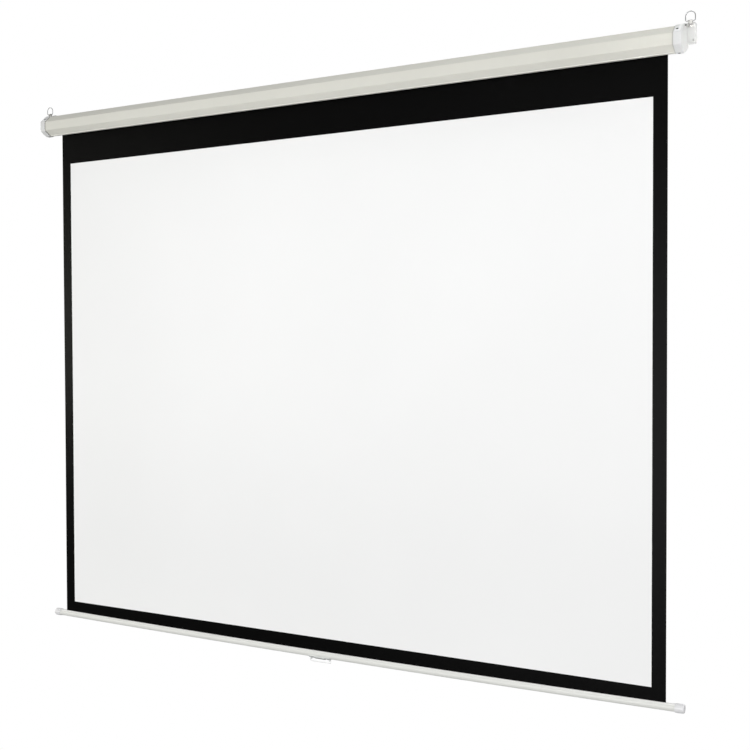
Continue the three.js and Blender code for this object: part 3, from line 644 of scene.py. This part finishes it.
def make_cap(side, s):
    rings = [
        (1098.5, ring_outline(0.35)), (1081.35, ring_outline(0.35)), (1081.08, ring_outline(0.5)), (1081.0, ring_outline(0.8)),
        (1081.0, ring_outline(1.4)), (1081.1, ring_outline(1.85)), (1081.38, ring_outline(2.17)), (1081.85, ring_outline(2.3)),
        (1083.6, ring_outline(2.3)), (1092.0, ring_outline(2.3)), (1098.4, ring_outline(2.3)),
        (1099.35, ring_outline(2.15)), (1100.2, ring_outline(1.72)), (1100.88, ring_outline(1.05)), (1101.32, ring_outline(0.2)), (1101.5, ring_outline(-0.8)),
        (1101.5, ring_outline(-6.0)), (1101.44, ring_outline(-6.25)), (1101.25, ring_outline(-6.6)), (1101.2, ring_outline(-6.9)),
    ]
    rings = [(s * x, ol) for x, ol in rings]
    cap = loft_x(f"end_cap_{side}_shell", rings, [MAT["cap"]])

    def bx(x0, x1, y0, y1, z0, z1, r=0.0, segs=3):
        a, b = (x0, x1) if s > 0 else (-x1, -x0)
        return rounded_box("cutter", (a, y0, z0), (b, y1, z1), r, [MAT["cap"]], segs)
    ear = bx(EAR_IN, EAR_OUT, EAR_FRONT, 0, EAR_BOTTOM, EAR_TOP, 1.5, 4)
    room = loft_x("cutter", [(s * 1070.0, ring_outline(0.35)), (s * CAP_WALL, ring_outline(0.35))], [])
    boolean(ear, [room])
    boolean(cap, [ear], "UNION")
    # raised ring round the front screw, its countersink and hole
    at = (s * CAP_SCREW_X, CAP_SCREW_AT.x, CAP_SCREW_AT.y)
    nrm = (0, CH_OUT.x, CH_OUT.y)
    boss = lathe("cutter", [(0, -1.0), (5.4, -1.0), (5.4, 0.1), (5.3, 0.32), (5.05, 0.45), (4.7, 0.5), (0, 0.5)], at, nrm, [MAT["cap"]], 48)
    boolean(cap, [boss], "UNION")
    below = (s * CAP_SCREW_X, BOTTOM_SCREW_Y, BOTTOM_FACE)
    for p, n, top in ((at, nrm, 0.5), (below, (0, 0, -1), 0.0)):
        sink = lathe("cutter", [(0, -1.3), (3.7, -1.3), (3.75, top - 0.35), (4.2, top + 0.1), (4.3, top + 3), (0, top + 3)], p, n, [], 40)
        hole = lathe("cutter", [(0, -7), (2.1, -7), (2.1, 0.0), (0, 0.0)], p, n, [], 24)
        boolean(cap, [sink, hole])
    # cored out from the wall side, leaving ribs and screw bosses
    bosses = [lathe("cutter", [(0, 0), (5.2, 0), (5.2, 30), (0, 30)], (s * RING_X, EAR_FRONT, CLASP_SCREW_Z), (0, 1, 0), [], 40),
              lathe("cutter", [(0, 0), (4.6, 0), (4.6, 30), (0, 30)], (s * EAR_HOLES[1][0], EAR_FRONT, EAR_HOLES[1][1]), (0, 1, 0), [], 36)]
    core = bx(1103.8, 1119.6, EAR_FRONT + 3, 5, -2.6, 17.4, 1.0, 3)
    core2 = bx(1103.8, 1119.6, EAR_FRONT + 3, 5, 21.4, 43.6, 1.0, 3)
    boolean(core2, [bosses[0]])
    boolean(core, [bosses[1]])
    boolean(cap, [core, core2])
    cuts = [lathe("cutter", [(0, -2), (1.9, -2), (1.9, 13.5), (0, 13.5)], (s * RING_X, EAR_FRONT, CLASP_SCREW_Z), (0, 1, 0), [], 24)]
    for hx, hz, hr in EAR_HOLES:
        cuts.append(lathe("cutter", [(0, -2), (hr + 1.2, -2), (hr + 0.95, -0.15), (hr + 0.9, 1.2), (hr, 1.2), (hr, 40), (0, 40)],
                          (s * hx, EAR_FRONT, hz), (0, 1, 0), [], 32))
    if s < 0:
        for y, z in LIMIT_AT.values():
            cuts.append(lathe("cutter", [(0, 1095), (4.0, 1095), (4.0, 1100.9), (4.6, 1101.7), (4.6, 1104), (0, 1104)], (0, y, z), (-1, 0, 0), [], 36))
        cuts.append(lathe("cutter", [(0, 1095), (6.3, 1095), (6.3, 1104), (0, 1104)], (0, *GLAND_AT), (-1, 0, 0), [], 40))
    boolean(cap, cuts)
    bm = bmesh.new()
    bm.from_mesh(cap.data)
    bmesh.ops.remove_doubles(bm, verts=bm.verts, dist=1e-6)
    bmesh.ops.dissolve_degenerate(bm, edges=bm.edges, dist=1e-6)
    bm.to_mesh(cap.data)
    bm.free()
    # the ring round the screw is glossier and given a lighter colour, a painted highlight; the wall of the upper hole
    # through the ear is painted dark, painted shade inside the hole; and the closed end with its ear gets a lighter,
    # slightly greener copy of the cap plastic, painted light
    cap.data.materials.append(MAT["cap_ring_highlight"])
    cap.data.materials.append(MAT["hole"])
    cap.data.materials.append(MAT["cap_end_lit"])
    centre, axis = Vector(at), Vector(nrm).normalized()
    for poly in cap.data.polygons:
        c = poly.center / MM
        if abs(c.x) > CAP_OUT - 0.4 or (c.y > EAR_FRONT - 0.1 and c.z > 36.5):
            poly.material_index = 3
        d = c - centre
        h = d.dot(axis)
        if -0.35 < h < 0.6 and 3.6 < (d - axis * h).length < 5.5:
            poly.material_index = 1
        for hx, hz, hr in EAR_HOLES[:1]:
            if EAR_FRONT + 0.25 < c.y < -0.6 and math.hypot(c.x - s * hx, c.z - hz) < hr + 0.3:
                poly.material_index = 2
    smooth_by(cap, 32)
    done(cap, "casing", f"end_cap_{side}")

    # dark countersunk screws
    for tag, p, n in (("front", at, nrm), ("bottom", below, (0, 0, -1))):
        sc = lathe(f"cap_screw_{tag}_{side}_v", [(0, -8), (1.5, -8), (1.7, -7.6), (1.7, -1.0), (3.25, -0.6), (3.4, -0.45), (3.4, 0.05), (3.2, 0.2), (2.4, 0.42), (1.2, 0.52), (0, 0.55)],
                   p, n, [MAT["black_screw"]], 40)
        boolean(sc, cross_recess(Vector(p) + Vector(n) * 0.5, n, 1.9, 0.95, 0.7))
        smooth_by(sc, 35)
        done(sc, "casing", f"cap_screw_{tag}_{side}")


# ------------------------------------------------------------------ hanging rings
def make_ring(side, s):
    ri = 1.4
    back_mid = RING_Y + ri + CLASP_T / 2
    front_mid = RING_Y + ri - 0.25 - CLASP_T / 2
    loop = arc(RING_Y, RING_Z, ri + CLASP_T / 2, 0, 206, 14)
    path = [(back_mid, 34.8)] + loop + [(front_mid, 44.6), (front_mid, 35.3)]
    # soften the turn where the front leg comes back to the rear one
    path = path[:-3] + fillet(path[-4:], [0, 1.2, 1.6, 0], 5, closed=False)[1:]
    clean = [path[0]]
    for p in path[1:]:
        if (Vector(p) - Vector(clean[-1])).length > 0.05:
            clean.append(p)
    outline = sheet_section(clean, CLASP_T)
    clasp = sweep_x(f"ring_strap_{side}", outline, s * RING_X - CLASP_HALF, s * RING_X + CLASP_HALF, [MAT["strap"]], cuts=1, smooth=40, bevel_mm=0.18)
    done(clasp, "casing", f"ring_clasp_{side}")

    out = EAR_FRONT - (front_mid - CLASP_T / 2)
    hb = out + 0.12
    head = lathe(f"strap_screw_{side}", [
        (0, -12.5), (1.3, -12.5), (1.6, -12.0), (1.6, hb), (3.6, hb), (3.85, hb + 0.15), (3.9, hb + 0.5), (3.8, hb + 1.0),
        (3.5, hb + 1.5), (3.0, hb + 1.95), (2.2, hb + 2.25), (1.2, hb + 2.38), (0, hb + 2.4)],
        (s * RING_X, EAR_FRONT, CLASP_SCREW_Z), (0, -1, 0), [MAT["chrome"]], 48)
    boolean(head, cross_recess(Vector((s * RING_X, EAR_FRONT - hb - 2.4, CLASP_SCREW_Z)), (0, -1, 0), 2.2, 1.5, 0.85))
    smooth_by(head, 35)
    done(head, "casing", f"clasp_screw_{side}")

    c, z0 = s * RING_X, RING_Z
    cr = 3.2
    pts = [(c, RING_Y, z0)]
    pts += [(c + RING_HALF - cr + cr * math.cos(a), RING_Y, z0 + cr + cr * math.sin(a)) for a in np.linspace(-math.pi / 2, 0, 9)]
    cz = z0 + RING_RISE - RING_HALF
    pts += [(c + RING_HALF * math.cos(a), RING_Y, cz + RING_HALF * math.sin(a)) for a in np.linspace(0, math.pi, 49)]
    pts += [(c - RING_HALF + cr + cr * math.cos(a), RING_Y, z0 + cr + cr * math.sin(a)) for a in np.linspace(math.pi, 1.5 * math.pi, 9)]
    ring = tube(f"ring_wire_{side}", pts, RING_WIRE, [MAT["wire"]], 20, closed=True)
    done(ring, f"ring_{side}", f"hanging_ring_{side}")


# ------------------------------------------------------------------ weight bar
def follow_bow(obj):
    """Raises a finished piece of the bar by the bow at each place along it."""
    for v in obj.data.vertices:
        v.co.z += BAR_BOW * MM * (v.co.x / MM / BAR_CAP_OUT) ** 2
    obj.data.update()


def make_bar():
    half = math.degrees(math.asin(1.3 / BAR_R))
    outer = arc(FABRIC_Y, BAR_Z, BAR_R, 90 + half, 450 - half, 64)
    half_i = math.degrees(math.asin(1.3 / (BAR_R - BAR_T)))
    inner = arc(FABRIC_Y, BAR_Z, BAR_R - BAR_T, 450 - half_i, 90 + half_i, 64)
    o = sweep_x("weight_bar", outer + inner, -BAR_HALF, BAR_HALF, [MAT["bar"], MAT["bar_top_highlight"]], cuts=24, smooth=40)
    # painted highlight: the two lips of the slot that the sheet hangs through, along the top of the bar, get a lighter
    # paint standing in for light from above
    for poly in o.data.polygons:
        c = poly.center / MM
        if c.z > BAR_Z + 0.70 * BAR_R:
            poly.material_index = 1
    follow_bow(o)
    done(o, "bottom_bar", "bar_tube")
    for side, s in SIDES:
        prof = [(0, 1084.9), (10.5, 1084.9), (10.55, 1084.6), (10.55, 1078.5), (10.7, 1078.08), (10.95, 1078.0), (11.3, 1078.02), (11.6, 1078.2),
                (11.85, 1078.6), (11.95, 1079.2), (11.98, 1080.2), (12.08, 1080.7), (12.1, 1081.5), (12.1, 1096.4), (12.05, 1097.7), (11.85, 1099.0),
                (11.45, 1100.1), (10.9, 1101.0), (10.1, 1101.65), (9.15, 1102.05), (8.0, 1102.27), (6.9, 1102.3), (6.45, 1102.2), (6.15, 1102.0),
                (5.8, 1101.9), (0, 1101.9)]
        c = lathe(f"bar_end_{side}", prof, (0, FABRIC_Y, BAR_Z), (s, 0, 0), [MAT["bar_cap"]], 64, 30)
        follow_bow(c)
        done(c, "bottom_bar", f"bar_cap_{side}")


# ------------------------------------------------------------------ pull handle
def make_handle():
    ri = BAR_R + 0.3
    xs = sorted(set([-38.0, -37.8, -37.3, 38.0, 37.8, 37.3] + [float(x) for x in np.linspace(-36, 36, 49)]))
    rings = []
    n = 28
    for x in xs:
        ax = abs(x)
        k = 1.0 / (1.0 + math.exp((ax - 19.0) / 0.9))
        edge = 0.5 * max(0.0, (ax - 37.0)) ** 1.0
        pts = []
        for i in range(n + 1):
            a = 205 + 130 * i / n
            lobe = max(0.0, math.cos(math.radians((a - 270) * 90 / 46))) ** 0.55 if abs(a - 270) < 46 else 0.0
            t = 1.7 + 2.5 * k * lobe - edge
            if i in (0, n):
                t -= 0.45
            pts.append((FABRIC_Y + (ri + t) * math.cos(math.radians(a)), BAR_Z + (ri + t) * math.sin(math.radians(a))))
        for i in range(n, -1, -1):
            a = 205 + 130 * i / n
            pts.append((FABRIC_Y + ri * math.cos(math.radians(a)), BAR_Z + ri * math.sin(math.radians(a))))
        rings.append((x, pts))
    clip = loft_x("pull_clip", rings, [MAT["handle"]], 40)
    for s in (-1, 1):
        a, b = (30.8, 34.8) if s > 0 else (-34.8, -30.8)
        lug = rounded_box("cutter", (a, FABRIC_Y - 3.2, BAIL_Z - 2.6), (b, FABRIC_Y + 3.2, BAR_Z - ri - 0.5), 0.9, [MAT["handle"]], 4)
        boolean(clip, [lug], "UNION")
        hole = lathe("cutter", [(0, 25), (1.35, 25), (1.35, 37.5), (0, 37.5)], (0, FABRIC_Y, BAIL_Z), (s, 0, 0), [], 28)
        hole2 = lathe("cutter", [(0, 6), (1.6, 6), (1.6, 20), (0, 20)], (s * 26, FABRIC_Y, BAR_Z), (0, 0, -1), [], 28)
        boolean(clip, [hole, hole2])
    # painted shade: a darker colour on the downward-facing underside of the clip, standing in for its shadow side
    clip.data.materials.append(MAT["handle_underside_shade"])
    for poly in clip.data.polygons:
        c = poly.center / MM
        if c.z < BAR_Z - 8.6 and poly.normal.z < -0.35 and abs(c.x) < 37.0:
            poly.material_index = 1
    smooth_by(clip, 35)
    done(clip, "bottom_bar", "handle_clip")
    for side, s in SIDES:
        h = ri + 1.75
        sc = lathe(f"pull_screw_{side}", [(0, 6), (1.3, 6), (1.3, h), (2.3, h), (2.5, h + 0.2), (2.45, h + 0.6), (2.1, h + 1.05), (1.3, h + 1.35), (0, h + 1.45)],
                   (s * 26, FABRIC_Y, BAR_Z), (0, 0, -1), [MAT["zinc"]], 32)
        boolean(sc, cross_recess(Vector((s * 26, FABRIC_Y, BAR_Z - h - 1.45)), (0, 0, -1), 1.3, 0.8, 0.55))
        smooth_by(sc, 35)
        done(sc, "bottom_bar", f"handle_screw_{side}")
    r = 2.6
    zb = BAIL_Z - BAIL_DROP
    pts = [(-30.0, BAIL_Z)] + fillet([(-30.0, BAIL_Z), (-BAIL_HALF, BAIL_Z), (-BAIL_HALF, zb), (BAIL_HALF, zb), (BAIL_HALF, BAIL_Z), (30.0, BAIL_Z)], r, 8, closed=False)[1:]
    bail = tube("pull_bail", [(x, FABRIC_Y, z) for x, z in pts], BAIL_WIRE, [MAT["bail"]], 18)
    done(bail, "handle_bail", "handle_bail")


# ------------------------------------------------------------------ fabric
def ripple(x, z):
    """How far the hanging sheet stands behind its plane, in millimetres: faint long waves, none at its top and bottom."""
    u = (z / VIEW_BOTTOM)
    fade = math.sin(math.pi * min(1.0, max(0.0, u))) ** 0.6
    edge = abs(x) / (FABRIC_W / 2)
    a = 0.35 * math.sin(x / 173.0 + 0.6) * math.cos(z / 610.0) + 0.25 * math.sin(x / 71.0 - z / 900.0)
    b = 0.35 * (edge ** 6) * math.sin(z / 205.0 + (1.3 if x > 0 else 0.2))
    return fade * (0.78 + a + b)


def cloth_panel(name, xs, zs, wave, front_white):
    """A closed sheet of real thickness; the picture area, its border and its back are separate materials."""
    nx, nz = len(xs), len(zs)
    verts = []
    for sgn in (-1, 1):
        for z in zs:
            for x in xs:
                verts.append((x, FABRIC_Y + (ripple(x, z) if wave else 0.0) + sgn * FABRIC_T / 2, z))
    faces, fm = [], []

    def vid(layer, i, j):
        return layer * nx * nz + j * nx + i
    for j in range(nz - 1):
        for i in range(nx - 1):
            xm, zm = (xs[i] + xs[i + 1]) / 2, (zs[j] + zs[j + 1]) / 2
            white = front_white and abs(xm) < VIEW_W / 2 and VIEW_BOTTOM < zm < VIEW_TOP
            faces.append((vid(0, i, j), vid(0, i + 1, j), vid(0, i + 1, j + 1), vid(0, i, j + 1)))
            fm.append(0 if white else 1)
            faces.append((vid(1, i, j), vid(1, i, j + 1), vid(1, i + 1, j + 1), vid(1, i + 1, j)))
            fm.append(2)
    for i in range(nx - 1):
        faces.append((vid(0, i, 0), vid(1, i, 0), vid(1, i + 1, 0), vid(0, i + 1, 0))); fm.append(1)
        faces.append((vid(0, i, nz - 1), vid(0, i + 1, nz - 1), vid(1, i + 1, nz - 1), vid(1, i, nz - 1))); fm.append(1)
    for j in range(nz - 1):
        faces.append((vid(0, 0, j), vid(0, 0, j + 1), vid(1, 0, j + 1), vid(1, 0, j))); fm.append(1)
        faces.append((vid(0, nx - 1, j), vid(1, nx - 1, j), vid(1, nx - 1, j + 1), vid(0, nx - 1, j + 1))); fm.append(1)
    return make(name, verts, faces, [MAT["white"], MAT["black"], MAT["back"]], 30, fm)


def grid(stops, step):
    out = []
    for a, b in zip(stops, stops[1:]):
        n = max(1, round(abs(b - a) / step))
        out += [a + (b - a) * i / n for i in range(n)]
    return out + [stops[-1]]


def make_fabric():
    xs = grid([-FABRIC_W / 2, -VIEW_W / 2, VIEW_W / 2, FABRIC_W / 2], 26.0)
    zs = grid([0.0, VIEW_TOP, VIEW_BOTTOM + 0.02], 26.0)
    main = cloth_panel("hanging_fabric", xs, zs, True, True)
    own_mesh(main)
    done(main, "casing", "screen_fabric")
    zs = grid([VIEW_BOTTOM, -1693.5, -1696.9], 9.0)
    low = cloth_panel("lower_border", xs, zs, False, False)
    # its edge inside the bar follows the bow
    for v in low.data.vertices:
        if v.co.z < -1693.6 * MM:
            v.co.z += BAR_BOW * MM * (v.co.x / MM / BAR_CAP_OUT) ** 2
    low.data.update()
    done(low, "bottom_bar", "fabric_lower_border")
    # the turns left on the roller, as one spiral
    t = 0.24
    n = 110
    turn = 1.35
    r0, r1 = 19.93, 20.18
    mid = []
    for i in range(n + 1):
        a = -turn * 2 * math.pi + turn * 2 * math.pi * i / n
        r = r0 + (r1 - r0) * i / n
        # ends at the rear tangent, where the hanging sheet leaves the roll
        mid.append((ROLLER_Y + r * math.cos(-a), r * math.sin(-a)))
    roll = sweep_x("fabric_roll", sheet_section(mid, t * 0.75, 2), -FABRIC_W / 2, FABRIC_W / 2, [MAT["black"]], cuts=8, smooth=40)
    done(roll, "roller", "fabric_wraps")


# ------------------------------------------------------------------ motor end details
def make_motor_end():
    p = [(2.8, 1096.3), (5.9, 1096.3), (6.0, 1096.6), (6.0, 1101.8), (8.3, 1101.8), (8.6, 1102.1), (8.6, 1103.9), (8.3, 1104.2), (6.2, 1104.3)]
    h, r = 1104.4, 5.6
    while h < 1112.6:
        p += [(r, h), (r, h + 0.9), (r - 0.7, h + 1.1), (r - 0.7, h + 1.7)]
        h += 1.9
        r -= 0.22
    p += [(4.1, 1113.2), (3.8, 1113.5), (3.2, 1113.5), (2.8, 1113.2)]
    g = lathe("lead_gland", p, (0, *GLAND_AT), (-1, 0, 0), [MAT["dark"]], 48)
    done(g, "casing", "power_gland")
    for name, (y, z) in LIMIT_AT.items():
        sc = lathe(name + "_v", [(0, 1084.4), (2.6, 1084.4), (2.8, 1084.7), (2.8, 1100.3), (2.65, 1100.6), (2.3, 1100.7), (0, 1100.7)],
                   (0, y, z), (-1, 0, 0), [MAT["yellow"]], 36)
        hexa = lathe("cutter", [(0, 1098.2), (1.5, 1098.2), (1.6, 1102), (0, 1102)], (0, y, z), (-1, 0, 0), [], 6)
        boolean(sc, [hexa])
        smooth_by(sc, 35)
        done(sc, "limit_up" if name.endswith("up") else "limit_down", name)


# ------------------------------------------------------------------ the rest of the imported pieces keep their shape
CARRIED = {
    "motor_bracket": "zinc", "idler_bracket": "zinc", "gearbox_housing": "zinc", "output_shaft": "zinc", "idler_pin": "zinc",
    "hem_rod": "zinc", "bracket_screw_upper_left": "zinc", "bracket_screw_lower_left": "zinc",
    "bracket_screw_upper_right": "zinc", "bracket_screw_lower_right": "zinc",
    "motor_head": "dark", "limit_crown": "grey", "motor_tube": "motor", "drive_wheel": "grey",
    "roller_tube": "alu", "idler_plug": "grey", "idler_bearing": "nylon",
}


def dress_carried():
    for name, key in CARRIED.items():
        o = NODES[name]
        if o.material_slots:
            for sl in o.material_slots:
                sl.link = "DATA"
                sl.material = MAT[key]
        else:
            o.data.materials.append(MAT[key])


make_casing()
for _side, _s in SIDES:
    make_cap(_side, _s)
    make_ring(_side, _s)
make_bar()
make_handle()
make_fabric()
make_motor_end()
dress_carried()


# ------------------------------------------------------------------ floor and light
def seen_or_lit(nt, seen_shader, lit_shader, out_socket):
    """What the eye sees of the surroundings is plain white; what lights the object is softer."""
    path = nt.nodes.new("ShaderNodeLightPath")
    mix = nt.nodes.new("ShaderNodeMixShader")
    nt.links.new(path.outputs["Is Camera Ray"], mix.inputs[0])
    nt.links.new(lit_shader, mix.inputs[1])
    nt.links.new(seen_shader, mix.inputs[2])
    nt.links.new(mix.outputs[0], out_socket)


def make_stage():
    me = bpy.data.meshes.new("floor")
    s, z = 60.0, -7.0
    me.from_pydata([(-s, -s, z), (s, -s, z), (s, s, z), (-s, s, z)], [], [(0, 1, 2, 3)])
    floor = bpy.data.objects.new("floor", me)
    scene.collection.objects.link(floor)
    m = bpy.data.materials.new("pale_floor")
    m.use_nodes = True
    nt = m.node_tree
    nt.nodes.clear()
    out = nt.nodes.new("ShaderNodeOutputMaterial")
    dif = nt.nodes.new("ShaderNodeBsdfDiffuse")
    dif.inputs["Color"].default_value = (0.64, 0.64, 0.64, 1)
    em = nt.nodes.new("ShaderNodeEmission")
    em.inputs["Color"].default_value = (1, 1, 1, 1)
    em.inputs["Strength"].default_value = 1.0
    seen_or_lit(nt, em.outputs[0], dif.outputs[0], out.inputs[0])
    me.materials.append(m)


def area(name, loc, target, size, power, size_y=None, spread=180.0, color=(1.0, 1.0, 1.0)):
    d = bpy.data.lights.new(name, "AREA")
    d.color = color
    d.shape = "RECTANGLE"
    d.size = size
    d.size_y = size_y or size
    d.energy = power
    d.spread = math.radians(spread)
    o = bpy.data.objects.new(name, d)
    scene.collection.objects.link(o)
    o.location = loc
    v = Vector(target) - Vector(loc)
    o.rotation_euler = v.to_track_quat("-Z", "Y").to_euler()
    return o


def make_light():
    w = bpy.data.worlds.new("studio")
    scene.world = w
    w.use_nodes = True
    nt = w.node_tree
    nt.nodes.clear()
    out = nt.nodes.new("ShaderNodeOutputWorld")
    seen = nt.nodes.new("ShaderNodeBackground")
    seen.inputs["Color"].default_value = (1, 1, 1, 1)
    seen.inputs["Strength"].default_value = 1.0
    fill = nt.nodes.new("ShaderNodeBackground")
    fill.inputs["Color"].default_value = (1.0, 1.0, 1.0, 1)
    fill.inputs["Strength"].default_value = 0.37
    seen_or_lit(nt, seen.outputs[0], fill.outputs[0], out.inputs[0])
    area("front_softbox", (0.15, -5.2, -1.25), (0.1, 0, -0.98), 4.0, 155.5, 2.4)
    area("lower_right_fill", (1.6, -1.3, -2.6), (0.9, 0, -1.65), 0.9, 2.0, 0.9)
    area("left_panel", (-4.4, -3.5, -0.62), (-1.0, 0, -0.65), 1.5, 43.0, 1.2, color=(1.0, 0.985, 0.88))
    area("upper_right_softbox", (1.7, -0.65, 2.0), (1.0, -0.04, 0.0), 1.0, 21.0, color=(0.985, 0.995, 1.0))
    area("right_softbox", (4.4, -0.35, -0.4), (1.1, -0.05, 0.0), 1.5, 51.0, 1.5)
    area("right_end_grid", (2.3, -1.75, -1.25), (1.125, -0.02, 0.005), 0.25, 0.065, 0.25, spread=9.0)
    area("left_softbox", (-4.4, 0.55, -0.3), (-1.1, -0.03, 0.0), 1.5, 33.0, 1.5, color=(1.0, 0.985, 0.88))
    area("back_panel", (0.3, 3.2, -0.6), (0.3, 0, -0.6), 7.0, 80.0, 3.4)
    area("low_strip", (0.4, -1.6, -2.3), (0.35, -0.05, 0.0), 3.0, 1.7, 0.4, spread=50.0)


make_stage()
make_light()
